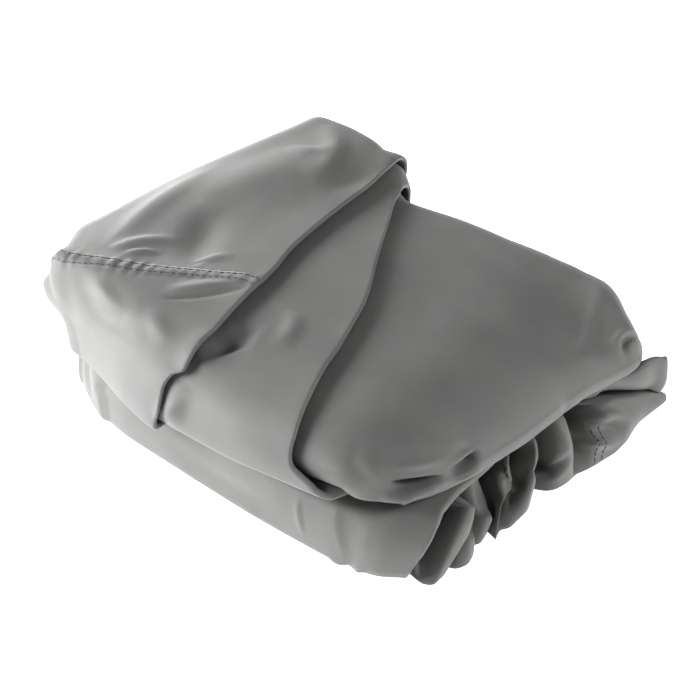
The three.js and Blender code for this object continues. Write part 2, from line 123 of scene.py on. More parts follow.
skirtLines = table(
    "s outerEnd innerEnd fold sag",
    (0, -150, -146, 122, 0),
    (0.07, -151, -146, 125, 0),
    (0.12, -152, -146, 127, 0),
    (0.2, -154, -145, 128, 0),
    (0.3, -153, -143, 127, 0),
    (0.4, -152, -144, 124, 0),
    (0.435, -151, -145, 122, 0),
    (0.48, -150, -146, 123, 0),
    (0.51, -149.5, -145, 122, 0),
    (0.54, -149, -143, 117, 0),
    (0.6, -151, -141, 116, 0),
    (0.63, -153, -142, 127, 0),
    (0.665, -154, -144, 141, 0.05),
    (0.71, -153, -145, 155, 0.2),
    (0.78, -151, -144, 161, 0.33),
    (0.85, -150, -142, 151, 0.33),
    (1, -149, -141, 128, 0.3),
)


# The slope at each of a row of values: the harmonic mean of the chords on both sides, level where they
# differ in direction, and the chord's own at the two ends. So a curve never swings past a value.
def slopes(chord):
    before, after = chord[:-1], chord[1:]
    same = before * after > 0
    total = np.where(same, before + after, 1)
    return np.concatenate([chord[:1], np.where(same, 2 * before * after / total, 0), chord[-1:]])


# The cubic from one value to another, with a slope at each end, at a fraction f of the way.
def cubic(start, end, startSlope, endSlope, f):
    bend = startSlope * f * (1 - f) ** 2 - endSlope * f * f * (1 - f)
    return start * (1 + 2 * f) * (1 - f) ** 2 + end * f * f * (3 - 2 * f) + bend


# A smooth curve through given values, held at the last ones past both ends.
def through(xs, ys, at):
    slope = slopes(np.diff(ys) / np.diff(xs))
    at = np.clip(at, xs[0], xs[-1])
    i = np.clip(np.searchsorted(xs, at, side="right") - 1, 0, len(xs) - 2)
    h = xs[i + 1] - xs[i]
    return cubic(ys[i], ys[i + 1], slope[i] * h, slope[i + 1] * h, (at - xs[i]) / h)


def mix(a, b, f):
    return a + (b - a) * f


def ease(f):
    t = np.clip(f, 0, 1)
    return t * t * (3 - 2 * t)


def pair(value, f):
    return mix(value[0], value[1], f) if isinstance(value, (tuple, list)) else value


def edgeAt(edge, s):
    if not isinstance(edge, str):
        return np.full_like(s, edge)
    lines = skirtLines if edge in skirtLines else foldLines
    return through(lines["s"], lines[edge], s)


# Where the cloth lies at x and s: the faces are quarter rounds of a superellipse, the top is a flat
# between them, and an edge that is turned under has a quarter-circle nose and a straight tuck.
def across(stations, x, s, lie):
    size = {name: through(stations["x"], stations[name], x) for name in stations}
    isBack = s > (zone["top"] + zone["topEnd"]) / 2
    inward = np.where(isBack, -1.0, 1.0)
    inset, isOpen = lie["inset"], lie["open"]
    taken = inset * mix(0.5, 1.0, isOpen)
    leastFront, leastBack = cover["leastReach"]
    frontReach = np.maximum(size["frontRound"] - taken, leastFront)
    backReach = np.maximum(size["backRound"] - taken, leastBack)
    reach = np.where(isBack, -backReach, frontReach)
    edge = np.where(isBack, size["back"] - inset, size["front"] + inset)

    def level(top):
        return lie["height"] + 0 * top if "height" in lie else top - lie["depth"]

    top = level(np.where(isBack, size["backTop"], size["frontTop"]))
    foot = np.minimum(lie["low"] if "low" in lie else size["slit"] + lie["lift"], top)

    flatShare = np.clip((s - zone["top"]) / (zone["topEnd"] - zone["top"]), 0, 1)
    frontPart = mix(size["frontTop"], size["midTop"], ease(2 * flatShare))
    backPart = mix(size["midTop"], size["backTop"], ease(2 * flatShare - 1))
    topY = mix(size["front"] + inset + frontReach, size["back"] - inset - backReach, flatShare)
    topZ = level(np.where(flatShare < 0.5, frontPart, backPart))

    end = np.where(isBack, 1, 0)
    nose, face, rim = (np.where(isBack, zone[name + "End"], zone[name]) for name in ("nose", "face", "top"))
    squareness = 2 / cover["roundness"]

    def onRound(share):
        turn = np.clip(share, 0, 1) * np.pi / 2
        y = edge + reach * (1 - np.cos(turn) ** squareness)
        return y, foot + (top - foot) * np.sin(turn) ** squareness

    openY, openZ = onRound((s - end) / (rim - end))
    roundY, roundZ = onRound((s - face) / (rim - face))
    noseTurn = np.clip((s - nose) / (face - nose), 0, 1) * np.pi / 2
    noseY = edge + inward * cover["noseRadius"] * (1 - np.sin(noseTurn))
    noseZ = foot - cover["noseRadius"] * np.cos(noseTurn)
    tuck = (lie["tuck"] - cover["tuckLoss"] * inset) * (s - nose) / (end - nose)
    onTuck, onNose = (s - nose) * inward < 0, (s - face) * inward < 0
    underY = np.where(onTuck, noseY + inward * tuck, np.where(onNose, noseY, roundY))
    underZ = np.where(onNose, noseZ, roundZ)
    isTop = (s >= zone["top"]) & (s <= zone["topEnd"])
    y = np.where(isTop, topY, mix(underY, openY, isOpen))
    z = np.where(isTop, topZ, mix(underZ, openZ, isOpen))
    return np.stack([x, y, z], -1)


# How a layer lies at x, a fraction f of the way from its left fold to its right one.
def lieOf(layer, f, x):
    start, stop = layer.get("change") or layer.get("turn") or (0, 1)
    share = ease(((x if "change" in layer else f) - start) / (stop - start))
    names = ("depth", "inset", "lift", "low", "height", "open")
    lie = {name: pair(layer[name], share) for name in names if name in layer}
    lie["tuck"] = layer.get("tuck", cover["tuckLength"])
    if "height" in lie:
        lie["low"] = lie["height"]
    return lie


# One layer's points: the section across, then the body's fall to its rim or the skirt's sag.
def layerPoints(stations, layer, x, f, s):
    points = across(stations, x, s, lieOf(layer, f, x))
    if "rim" in layer:
        rimX = edgeAt(layer["right"], s)
        t = np.clip((x - layer["fallFrom"]) / (rimX - layer["fallFrom"]), 0, 1)
        power = cover["rimRoundness"]
        share = ease(t) if layer["way"] < 0 else 1 - (1 - t ** power) ** (1 / power)
        points[..., 2] = mix(points[..., 2], layer["rim"], share)
    if "wall" in layer:
        sag = through(skirtLines["s"], skirtLines["sag"], s)
        sag = sag * ease((x - sinking["from"]) / sinking["length"])
        points[..., 2] = mix(points[..., 2], cover["floor"] + sinking["above"], sag)
    return points


# About how high a layer lies at its left (0) or right (1) end.
def levelOf(layer, end):
    return layer["height"] if "height" in layer else cover["topLevel"] - pair(layer["depth"], end)


# How far the fold between two layers stands out: half the step between them, unless it is given.
def bulgeOf(a, b):
    if "bulge" in b:
        return b["bulge"]
    if "rim" in a and "rim" in b:
        return (a["rim"] - b["rim"]) / 2
    if "wall" in a and "wall" in b:
        return cover["skirtBulge"]
    end = 1 if a["way"] > 0 else 0
    return abs(levelOf(a, end) - levelOf(b, end)) / 2


def layerEnds(layers, k, s):
    layer = layers[k]
    before = bulgeOf(layers[k - 1], layer) if k else 0
    after = bulgeOf(layer, layers[k + 1]) if k + 1 < len(layers) else 0
    atLeft, atRight = (before, after) if layer["way"] > 0 else (after, before)
    return edgeAt(layer["left"], s) + atLeft, edgeAt(layer["right"], s) - atRight


# The rows of a run of layers: each layer's own rows, few where another layer hides it and many where it
# shows, then half a turn into the next layer. Each row carries the number of its layer; a turn's rows
# carry the mean of the two.
def foldedGrid(stations, layers, s):
    rows, labels = [], []
    for k, layer in enumerate(layers):
        x0, x1 = layerEnds(layers, k, s)
        shownFrom = x0
        if "under" in layer:
            shownFrom = np.clip(edgeAt(layer["under"], s) - cover["overlap"], x0, x1 - 2)
        hidden = np.linspace(0, 1, layer["hidden"], endpoint=False)[:, None]
        shown = np.linspace(0, 1, layer.get("shown", 0) + 1)[:, None]
        shown = 1 - (1 - shown) ** layer.get("crowd", 1)
        if "shown" in layer:
            x = np.concatenate([mix(x0, shownFrom, hidden), mix(shownFrom, x1, shown)])
        else:
            x = mix(x0, x1, np.linspace(0, 1, layer["hidden"] + 1)[:, None])
        if layer["way"] < 0:
            x = x[::-1]
        f = (x - x0) / (x1 - x0)
        rows.append(layerPoints(stations, layer, x, f, np.broadcast_to(s, x.shape)))
        labels += [k] * len(x)
        if k + 1 < len(layers):
            following = layers[k + 1]
            atRight = 1 if layer["way"] > 0 else 0
            ends = layerEnds(layers, k + 1, s)[atRight]
            stop = layerPoints(stations, following, ends, np.full_like(s, atRight), s)
            count = following["turnRows"]
            turn = (np.arange(1, count) / count * np.pi)[:, None]
            squareness = 2 / cover["endRoundness"] if "bulge" in following else 1
            out = np.sin(turn) ** squareness * bulgeOf(layer, following) * layer["way"]
            part = (1 - np.sign(np.cos(turn)) * np.abs(np.cos(turn)) ** squareness) / 2
            bent = mix(rows[-1][-1][None], stop[None], part[..., None])
            bent[..., 0] += out
            rows.append(bent)
            labels += list(k + np.arange(1, count) / count)
    return np.concatenate(rows), np.array(labels)


# The middle surface of the hem: a smooth curve in each column from the bottom layer's end over foot, mid
# and crest to the upper layer's start.
def hemGrid(start, stop, steps, s):
    middle = [np.stack([through(hem["s"], hem[name], s) for name in hemColumns[i:i + 3]], -1)
              for i in range(0, len(hemColumns), 3)]
    points = np.stack([start, *middle, stop])
    slope = slopes(np.diff(points, axis=0))
    i = np.clip(steps.astype(int), 0, len(points) - 2)
    return cubic(points[i], points[i + 1], slope[i], slope[i + 1], (steps - i)[:, None, None])


# The mean direction of the surface at each point of a grid, from its neighbours' cross product.
def gridNormals(points):
    def unit(v):
        return v / np.maximum(np.linalg.norm(v, axis=-1, keepdims=True), 1e-9)

    def along(p):
        step = unit(np.diff(p, axis=0))
        return np.concatenate([step[:1], step]) + np.concatenate([step, step[-1:]])

    over = along(points.swapaxes(0, 1)).swapaxes(0, 1)
    return unit(np.cross(along(points), over))


# The ways creases stand out of the bundle, by number: its top, front shoulder, front, front left corner,
# front right corner, right rim, left end, the hem's right side and the back.
outward = np.array([(0, 0, 1), (0, -0.6, 0.8), (0, -1, 0.15), (-0.7, -0.7, 0.1), (0.65, -0.65, 0.4),
                    (0.6, -0.1, 0.8), (-1, 0, 0.1), (0.85, -0.3, 0.45), (0, 0.9, 0.4)])
outward /= np.linalg.norm(outward, axis=1, keepdims=True)


# How finely a crease's curve is stepped, how many widths it reaches, how far over or under its curve, how
# its ends taper, and from what depth under the surface it fades.
creasing = {"steps": 25, "widths": 2.6, "depth": 26, "taperPower": 1.3, "fadeFrom": 7, "fadeLength": 18}


# Moves the points along each crease's outward direction by rise * exp(-(distance / width)^2), where the
# distance is taken in the plane across that direction to the parabola through the crease's three places.
# lean narrows one side and widens the other, a crease tapers to nothing at both its ends where taper is
# 1, and it fades below the surface. first and last are the layers that it moves together.
def creased(points, creases, labels):
    points = points.copy()
    t = np.linspace(0, 1, creasing["steps"])[:, None]
    for k in range(len(creases["width"])):
        one = {name: values[k] for name, values in creases.items()}
        a, b, c = (np.array([one[axis + n] for axis in "xyz"]) for n in "012")
        out = outward[int(one["side"])]
        path = a * (1 - t) * (1 - 2 * t) + b * 4 * t * (1 - t) + c * t * (2 * t - 1)
        reach = creasing["widths"] * one["width"] * (1 + abs(one["lean"])) + 1 + creasing["depth"]
        near = np.all((points > path.min(0) - reach) & (points < path.max(0) + reach), axis=-1)
        share = np.clip(labels - one["first"] + 1, 0, 1) * np.clip(one["last"] + 1 - labels, 0, 1)
        near &= (share > 0)[:, None]
        if not near.any():
            continue
        offset = points[near][:, None] - path[None]
        above = offset @ out
        flat = offset - above[..., None] * out
        nearest = (flat ** 2).sum(-1).argmin(1)
        rows = np.arange(len(nearest))
        tangent = np.gradient(path, axis=0)[nearest]
        side = np.cross(tangent, out)
        away = flat[rows, nearest]
        step = (away * tangent).sum(-1) / (tangent ** 2).sum(-1)
        step = np.clip(step, np.where(nearest > 0, -0.5, 0), np.where(nearest < len(t) - 1, 0.5, 0))
        away = away - step[:, None] * tangent
        at = np.clip((nearest + step) / (len(t) - 1), 0, 1)
        signed = np.sign((away * side).sum(-1))
        width = one["width"] * (1 + signed * one["lean"])
        tapered = mix(1.0, np.sin(np.pi * at) ** creasing["taperPower"], one["taper"])
        fade = 1 - ease((-above[rows, nearest] - creasing["fadeFrom"]) / creasing["fadeLength"])
        rise = one["rise"] * np.exp(-(np.linalg.norm(away, axis=1) / width) ** 2) * tapered * fade
        points[near] += (rise * np.broadcast_to(share[:, None], near.shape)[near])[:, None] * out
    return points


# A slow unevenness: each coordinate moves by a sum of sines of the place.
def uneven(points, amount):
    x, y, z = np.moveaxis(points, -1, 0)
    wave = np.sin(x / 29 + 1.7 * np.sin(y / 41 + 0.6)) + 0.7 * np.sin(y / 23 - x / 57 + 2.1)
    other = np.sin(y / 31 + 1.4 * np.sin(x / 37 + 2.0)) + 0.7 * np.sin(x / 19 + z / 27 + 0.4)
    return points + amount * np.stack([0.6 * other, 0.6 * wave, 0.5 * (wave + other)], -1)


# A closed sheet from a grid of points: two skins half the thickness to both sides of the grid, on the
# cells that mask keeps, joined along every edge where the kept cells end.
def sheetMesh(name, points, mask=None):
    n, m = points.shape[:2]
    mask = np.ones((n - 1, m - 1), bool) if mask is None else mask
    half = cover["cloth"] / 2
    normals = gridNormals(points)
    skins = [points + half * normals, points - half * normals]
    index = np.arange(n * m).reshape(n, m)
    a, b, c, d = index[:-1, :-1][mask], index[1:, :-1][mask], index[1:, 1:][mask], index[:-1, 1:][mask]
    other = n * m
    quads = [np.stack([a, b, c, d], 1), np.stack([a, d, c, b], 1) + other]
    padded = np.pad(mask, 1)
    for axis in (0, 1):
        if axis == 0:
            before, after = padded[:-1, 1:-1], padded[1:, 1:-1]
            first, second = index[:, :-1], index[:, 1:]
        else:
            before, after = padded[1:-1, 1:], padded[1:-1, :-1]
            first, second = index[:-1, :], index[1:, :]
        opens, closes = after & ~before, before & ~after
        p, q = first[opens], second[opens]
        quads.append(np.stack([q, p, p + other, q + other], 1)[:, ::-1])
        p, q = first[closes], second[closes]
        quads.append(np.stack([p, q, q + other, p + other], 1)[:, ::-1])
    quads = np.concatenate(quads)
    coordinates = np.concatenate([skin.reshape(-1, 3) for skin in skins])
    used, flat = np.unique(quads, return_inverse=True)
    places = np.tile(clothPlaces(points).reshape(-1, 2), (2, 1))[used]
    return meshObject(name, coordinates[used], flat.reshape(-1, 4), places)


# How far each point lies along the cloth and across it: the mean steps between rows and between columns,
# added up.
def clothPlaces(points):
    along = np.linalg.norm(np.diff(points, axis=0), axis=-1).mean(1)
    over = np.linalg.norm(np.diff(points, axis=1), axis=-1).mean(0)
    u, v = np.append(0, along.cumsum()), np.append(0, over.cumsum())
    return np.stack(np.meshgrid(u, v, indexing="ij"), -1) * mm


# Puts points (in the tables' millimetres) and faces of one size into a smooth-shaded mesh object, with the
# given places on the cloth as its UV map.
def meshObject(name, coordinates, faces, places):
    corners = faces.shape[1]
    mesh = bpy.data.meshes.new(name)
    mesh.vertices.add(len(coordinates))
    mesh.vertices.foreach_set("co", ((coordinates + np.array(cover["tableOrigin"])) * mm).ravel())
    mesh.loops.add(faces.size)
    mesh.loops.foreach_set("vertex_index", faces.ravel().astype(np.int32))
    mesh.polygons.add(len(faces))
    mesh.polygons.foreach_set("loop_start", np.arange(0, faces.size, corners, dtype=np.int32))
    mesh.uv_layers.new(name="clothPlace").data.foreach_set("uv", places[faces.ravel()].ravel())
    mesh.polygons.foreach_set("use_smooth", np.ones(len(faces), bool))
    mesh.update(calc_edges=True)
    mesh.validate()
    piece = bpy.data.objects.new(name, mesh)
    bpy.context.collection.objects.link(piece)
    return piece


# The upper packet, in the order in which the cloth runs: the bottom layer, round the left end to the crown
# flap, back and forth to the second flap and the body, and back under the body to the folds inside.
upperLayers = [
    {"way": -1, "left": "leftEnd", "right": 60, "depth": 56, "inset": (12, 41), "lift": 2, "open": 1,
     "turn": (0, 0.13), "hidden": 15},
    {"way": 1, "left": "leftEnd", "right": "crownFold", "depth": (0, 1.2), "inset": (0, 0.4), "lift": 0,
     "open": 0, "turn": (0.5, 1), "hidden": 84, "turnRows": 30, "bulge": 15},
    {"way": -1, "left": "crownInner", "right": "crownFold", "depth": (4, 3.4), "inset": 2.7, "lift": 2.2,
     "open": 0, "turn": (0.5, 1), "hidden": 8, "turnRows": 7},
    {"way": 1, "left": "crownInner", "right": "flapFold", "depth": (8, 9.2), "inset": (5.4, 5.8),
     "lift": 4.4, "open": 0, "turn": (0.6, 1), "hidden": 5, "shown": 42, "under": "crownFold",
     "turnRows": 3},
    {"way": -1, "left": "flapInner", "right": "flapFold", "depth": (12, 11.4), "inset": 8.1, "lift": 6.6,
     "open": 0, "turn": (0.6, 1), "hidden": 8, "turnRows": 7},
    {"way": 1, "left": "flapInner", "right": "bodyRim", "depth": 16, "inset": 13, "lift": (8.8, 1),
     "open": (0, 1), "change": (54, 96), "rim": 45.2, "fallFrom": 56, "hidden": 4, "shown": 76,
     "crowd": 1.6, "under": "flapFold", "turnRows": 3},
    {"way": -1, "left": -142, "right": "bodyRim", "depth": 45, "inset": (42, 14), "lift": 12, "open": 1,
     "turn": (0.76, 0.98), "rim": 41.7, "fallFrom": 66, "hidden": 11, "turnRows": 6},
    {"way": 1, "left": -142, "right": 92, "depth": 37, "inset": 40, "lift": 18, "open": 1, "hidden": 5,
     "turnRows": 3},
    {"way": -1, "left": -138, "right": 92, "depth": 27, "inset": 36, "lift": 18, "open": 1, "hidden": 5,
     "turnRows": 3},
]
crownEnd = 0.87                  # where the crown panel's seam passes round the back


# The places of the columns across the cloth, from stretches that each give their start, end and count.
def columnPlaces(*stretches):
    parts = [np.linspace(start, stop, count, endpoint=False) for start, stop, count in stretches]
    return np.append(np.concatenate(parts), stretches[-1][1])


upperPlaces = columnPlaces(
    (0, 0.07, 4), (0.07, 0.12, 5), (0.12, 0.376, 56), (0.376, 0.424, 26), (0.424, 0.72, 60),
    (0.72, 0.87, 20), (0.87, 0.9, 4), (0.9, 0.94, 4), (0.94, 1, 3),
)
upperCreases = table(
    "x0 y0 z0 x1 y1 z1 x2 y2 z2 width rise lean taper side first last",
    # the crown flap's top
    (-135, -76, 101, -146, -20, 101, -146, 44, 101, 8, 3, 0.3, 1, 0, 0, 9),
    (-124, -60, 101, -124, 36, 101, -76, 140, 101, 24, 4.5, 0, 1, 0, 0, 9),
    (-84, -56, 100, -97, -28, 101, -114, 0, 101, 11, -3.2, 0, 1, 0, 0, 9),
    (-131, -74, 100, -125, -56, 101, -104, -36, 101, 4.5, 2.4, 0.3, 1, 0, 0, 9),
    (-122, -72, 100, -116, -62, 101, -104, -54, 101, 2.6, 1.8, 0.3, 1, 0, 0, 9),
    (-83, -55, 100, -80, -38, 100, -70, -26, 100, 3.2, 1.5, 0.3, 1, 0, 0, 9),
    (-84, -54, 100, -82, -47, 100, -78, -41, 100, 2, -0.8, 0, 1, 0, 0, 9),
    (-134, 130, 102, -100, 104, 102, -92, 66, 102, 8, 3, 0.2, 1, 0, 0, 9),
    (-100, 102, 102, -112, 92, 102, -130, 86, 102, 6, 2, 0, 1, 0, 0, 9),
    (-70, 112, 101, -72, 88, 101, -80, 62, 101, 10, -2, 0, 1, 0, 0, 9),
    # its left and back right edges
    (-170, -60, 94, -164, 30, 94, -156, 136, 94, 13, 4, 0, 0, 6, 0, 9),
    (-88, 142, 88, -70, 142, 88, -56, 128, 90, 15, 8, 0, 1, 8, 0, 9),
    # its front shoulder and left corner
    (-78, -80, 91, -60, -66, 94, -42, -44, 97, 1.3, -3, 0.4, 1, 1, 0, 9),
    (-80, -76, 93, -64, -60, 96, -46, -38, 98, 4, 2.4, 0, 1, 1, 0, 9),
    (-136, -92, 95, -116, -105, 84, -74, -101, 80, 7, -3.2, 0, 1, 1, 0, 9),
    (-124, -93, 94, -110, -99, 89, -90, -101, 84, 6, 2.4, 0, 1, 1, 0, 9),
    (-80, -90, 88, -66, -93, 84, -50, -98, 78, 6, 1.8, 0, 1, 1, 0, 9),
    (-152, -99, 93, -148, -103, 80, -140, -105, 62, 4, 1.6, 0, 1, 3, 0, 9),
    (-163, -95, 92, -158, -98, 80, -150, -102, 64, 4, -3, 0, 1, 3, 0, 9),
    (-36, -78, 89, -34, -92, 84, -36, -108, 76, 8, 2.5, 0, 1, 1, 0, 2),
    (-30, -112, 72, -32, -123, 58, -38, -127, 46, 7, 4, 0, 1, 2, 0, 9),
    # the flap under it
    (-34, -94, 81, -26, -84, 86, -12, -70, 88, 8, -8, 0, 1, 1, 3, 9),
    (-32, -74, 88, -24, -68, 89, -14, -66, 89, 5, -2.5, 0, 1, 1, 3, 9),
    (-30, -101, 79, -19, -88, 85, -11, -70, 88, 4, 2, 0, 1, 1, 3, 9),
    (-16, -36, 91, -2, -50, 90, 1, -68, 88, 6, 1.6, 0, 1, 0, 3, 9),
    (-20, -108, 76, 10, -112, 68, 50, -112, 56, 12, 1, 0, 1, 2, 3, 9),
    # the body's front corner and its right rim
    (84, -96, 72, 93, -92, 64, 100, -92, 54, 6, 2.5, 0, 1, 4, 5, 9),
    (62, -96, 72, 84, -106, 60, 100, -96, 52, 11, 4, 0, 1, 4, 5, 9),
    (100, -88, 56, 109, -77, 55, 118, -60, 53, 3.2, -11, 0.7, 1, 4, 5, 9),
    (98, -85, 63, 107, -73, 62, 118, -54, 60, 2.4, 2.2, 0, 1, 4, 5, 9),
    (98, -94, 48, 109, -84, 47, 120, -62, 48, 2.6, 5, 0, 1, 4, 5, 9),
    (118, -57, 53, 121, -46, 54, 121, -32, 56, 3, -9, 0.5, 1, 4, 5, 9),
    (120, -60, 48, 125, -48, 48, 128, -34, 48, 2.4, 4, 0, 1, 4, 5, 9),
    (114, -50, 60, 118, -42, 60, 122, -34, 58, 3, -1.5, 0, 1, 5, 5, 9),
    (98, 124, 75, 112, 96, 71, 127, 60, 64, 3, 2.4, -0.4, 1, 5, 5, 9),
    (141, 108, 54, 137, 93, 58, 149, 86, 49, 1.8, -3, 0, 1, 5, 5, 9),
    (137, 112, 57, 132, 92, 61, 147, 80, 51, 2, 2.4, 0, 1, 5, 5, 9),
    (131, 34, 51, 137, 37, 47, 141, 40, 43, 3, -3, 0, 1, 5, 5, 9),
    (0, 60, 84, 40, 20, 84, 70, -20, 82, 26, -1.6, 0, 1, 0, 5, 9),
    (134, 62, 46, 146, 92, 45, 150, 126, 44, 16, 7, 0, 0, 0, 5, 9),
    (92, 122, 80, 122, 108, 68, 140, 78, 58, 15, 9, 0, 1, 5, 5, 9),
    (64, 142, 80, 96, 136, 74, 124, 116, 66, 14, 5, 0, 1, 8, 5, 9),
    (-56, 136, 82, -14, 132, 82, 34, 126, 84, 14, 4, 0, 1, 0, 5, 9),
)
upperPoints, upperLabels = foldedGrid(upperStations, upperLayers, upperPlaces)
upperPoints = uneven(creased(upperPoints, upperCreases, upperLabels), cover["unevenness"])
print("upper packet", upperPoints.shape)

# The lower packet, in the same way: the inner layers down to the bottom one, then, past the hem at the
# right end, a layer over them and the fold on top.
skirtInner = [
    {"way": 1, "left": "innerEnd", "right": 98, "height": 19, "inset": (14, 34), "change": (-136, -100),
     "open": 1, "hidden": 8},
    {"way": -1, "left": -146, "right": 98, "height": 10, "inset": (14, 34), "change": (-136, -100),
     "open": 1, "hidden": 8, "turnRows": 4},
    {"way": 1, "left": -146, "right": 106, "height": cover["floor"], "inset": (14, 3), "turn": (0.02, 0.26),
     "open": 1, "hidden": 12, "turnRows": 4},
]
skirtOuter = [
    {"way": -1, "left": "outerEnd", "right": 112, "height": 27.5, "inset": 20, "open": 1, "hidden": 6},
    {"way": 1, "left": "outerEnd", "right": "fold", "depth": 0, "inset": 0, "lift": (0, -1.2),
     "open": (0, 1), "tuck": cover["skirtTuck"], "change": (80, 98), "wall": True, "hidden": 44,
     "shown": 44, "under": 60, "turnRows": 10, "bulge": 8},
    {"way": -1, "left": -100, "right": "fold", "depth": (5, 4.2), "inset": (12, 4), "low": (30, 7),
     "open": 1, "change": (60, 100), "wall": True, "hidden": 8, "turnRows": 6},
]
hemColumns = "footX footY footZ midX midY midZ crestX crestY crestZ".split()
hemRowCount = 46
# The gathered hem, front to back: each line runs from under the skirt's upper fold over a crest, down
# past mid to the foot, and leans forward as it falls.
hem = table(
    "s crestX crestY crestZ midX midY midZ footX footY footZ",
    (0, 110, -84, 22, 109, -91, 12, 107, -97, 0.8),
    (0.3, 113, -75, 24, 112, -84, 12, 111, -95, 0.8),
    (0.4, 108, -68, 22, 103, -77, 12, 113, -90, 0.8),
    (0.406, 108, -66, 22, 104, -79, 12, 117, -90, 0.8),
    (0.414, 118, -66, 24, 119, -80, 14, 122, -91, 0.8),
    (0.424, 106, -58, 15, 110, -70, 7, 129, -92, 0.8),
    (0.436, 128, -50, 28, 132, -64, 18, 135, -87, 0.8),
    (0.443, 130, -48, 27, 134, -58, 15, 135, -80, 0.8),
    (0.449, 129, -46, 25, 132, -54, 11, 132, -73, 0.8),
    (0.456, 108, -43, 14, 118, -50, 9, 133, -73, 0.8),
    (0.463, 108, -44, 14, 130, -60, 9, 137, -71, 0.8),
    (0.47, 112, -46, 14, 136, -57, 9, 140, -64, 0.8),
    (0.477, 110, -44, 13, 134, -50, 7, 138, -56, 0.8),
    (0.484, 110, -42, 13, 127, -45, 8, 133, -52, 0.8),
    (0.491, 126, -37, 17, 135, -40, 12, 136, -46, 0.8),
    (0.498, 126, -32, 17, 136, -36, 11, 135, -41, 0.8),
    (0.504, 104, -24, 12, 108, -28, 6, 122, -36, 0.8),
    (0.513, 104, -2, 11, 110, -12, 7, 132, -36, 0.8),
    (0.521, 121, 0, 29, 134, -22, 21, 141, -38, 0.8),
    (0.527, 102, 6, 11, 110, -10, 7, 139, -31, 0.8),
    (0.533, 106, 16, 14, 118, 0, 10, 142, -24, 0.8),
    (0.54, 127, 15, 31, 139, 2, 19, 142, -10, 0.8),
    (0.546, 126, 18, 32, 138, 6, 16, 140, -2, 0.8),
    (0.551, 103, 18, 11, 109, 9, 6, 128, 2, 0.8),
    (0.559, 103, 30, 12, 110, 23, 6, 134, 10, 0.8),
    (0.566, 112, 32, 18, 136, 24, 9, 141, 14, 0.8),
    (0.574, 122, 32, 28, 140, 24, 14, 145, 20, 0.8),
    (0.586, 128, 36, 36, 143, 33, 24, 147, 30, 0.8),
    (0.594, 128, 44, 34, 139, 41, 20, 147, 34, 0.8),
    (0.601, 106, 48, 16, 122, 44, 10, 147, 37, 0.8),
    (0.61, 106, 60, 17, 130, 52, 12, 149, 43, 0.8),
    (0.62, 122, 66, 24, 146, 57, 16, 151, 50, 0.8),
    (0.635, 138, 71, 29, 149, 66, 17, 153, 60, 0.8),
    (0.65, 141, 81, 29, 150, 77, 16, 155, 72, 0.8),
    (0.665, 147, 92, 27, 154, 87, 15, 155, 83, 1),
    (0.685, 154, 104, 25, 157, 100, 15, 152, 96, 4),
    (0.71, 161, 114, 23, 162, 115, 18, 154, 105, 9),
    (0.85, 137, 113, 14, 145, 118, 11, 136, 114, 2),
    (1, 113, 114, 15, 114, 119, 9, 112, 119, 0.8),
)
lowerPlaces = columnPlaces(
    (0, 0.07, 3), (0.07, 0.12, 3), (0.12, 0.4, 38), (0.4, 0.65, 156), (0.65, 0.71, 20), (0.71, 0.9, 18),
    (0.9, 1, 4),
)
innerPoints, innerLabels = foldedGrid(lowerStations, skirtInner, lowerPlaces)
outerPoints, outerLabels = foldedGrid(lowerStations, skirtOuter, lowerPlaces)
hemSteps = np.linspace(0, len(hemColumns) // 3 + 1, hemRowCount + 2)[1:-1]
hemPoints = hemGrid(innerPoints[-1], outerPoints[0], hemSteps, lowerPlaces)
